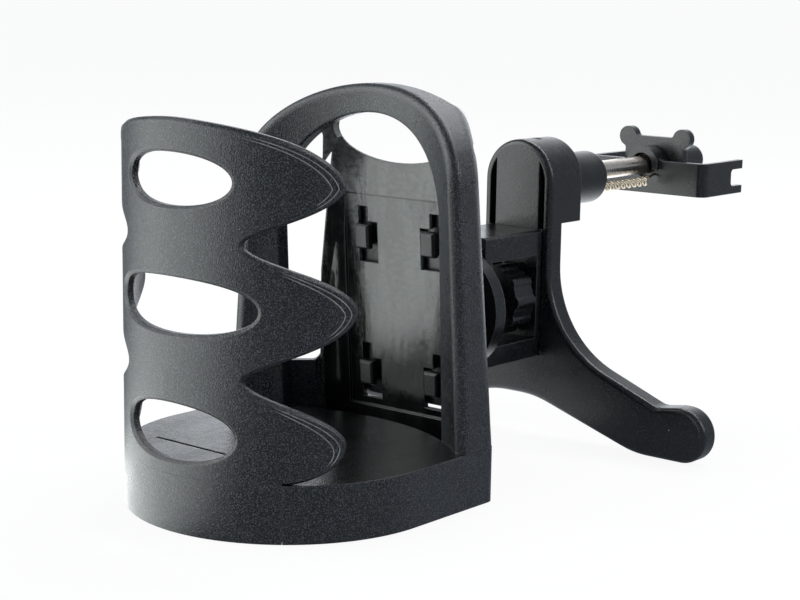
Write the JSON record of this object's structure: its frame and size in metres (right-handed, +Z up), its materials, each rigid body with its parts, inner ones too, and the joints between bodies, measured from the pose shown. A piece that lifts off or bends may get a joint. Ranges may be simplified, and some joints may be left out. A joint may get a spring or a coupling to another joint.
{
  "type": "car cup holder",
  "caption": "Car cup holder: a fingered cage and arched basket hooked on a sliding, turning bracket with splayed feet, with a sprung clip on a rod for a vent blade.",
  "frame": {"origin": "On the cup axis, at the underside of the base that stands on the table.", "axes": "+Y runs back from the cup towards the vent, +Z up, +X to the object's right seen from the front."},
  "size_m": [0.1192, 0.215, 0.0951],
  "materials": {
    "textured_black": "black moulded plastic with a fine spark texture",
    "smooth_black": "black moulded plastic, smooth with a satin sheen",
    "bright_steel": "bright plated steel",
    "steel": "zinc-plated steel"
  },
  "bodies": {
    "vent_clip": {"clip_bracket": "smooth_black", "guide_rod": "bright_steel", "retaining_ring": "steel", "pull_plate": "smooth_black", "rod_end_cap": "smooth_black", "tension_spring": "bright_steel"},
    "bracket": {"vent_bracket": "smooth_black"},
    "carriage": {"carriage": "smooth_black", "pivot_stud": "steel", "swivel_disc": "smooth_black", "swivel_washer": "steel", "swivel_screw": "steel", "spacer_sleeve": "smooth_black", "slide_keeper": "smooth_black", "keeper_screws": "steel"},
    "lock_nut": {"lock_nut": "smooth_black"},
    "hook": {"hook_plate": "smooth_black"},
    "basket": {"front_cage": "textured_black", "basket_frame": "textured_black", "cage_screws": "steel"}
  },
  "joints": [
    {"name": "rod_telescope", "type": "slide", "parent": "vent_clip", "child": "bracket", "axis": [0, -1, 0], "range_m": [0, 0.007], "stiffness_N_per_m": 150, "springref_m": -0.01},
    {"name": "carriage_slide", "type": "slide", "parent": "bracket", "child": "carriage", "axis": [0, 0, 1], "range_m": [-0.003, 0.012]},
    {"name": "lock_nut_turn", "type": "hinge", "parent": "carriage", "child": "lock_nut", "pos_m": [0, 0.08, 0.037], "axis": [0, 1, 0], "continuous": true},
    {"name": "plate_spin", "type": "hinge", "parent": "carriage", "child": "hook", "pos_m": [0, 0.053, 0.037], "axis": [0, 1, 0], "continuous": true},
    {"name": "basket_slide", "type": "slide", "parent": "hook", "child": "basket", "axis": [0, -0.0698, 0.9976], "range_m": [-0.0042, 0.0033]}
  ]
}
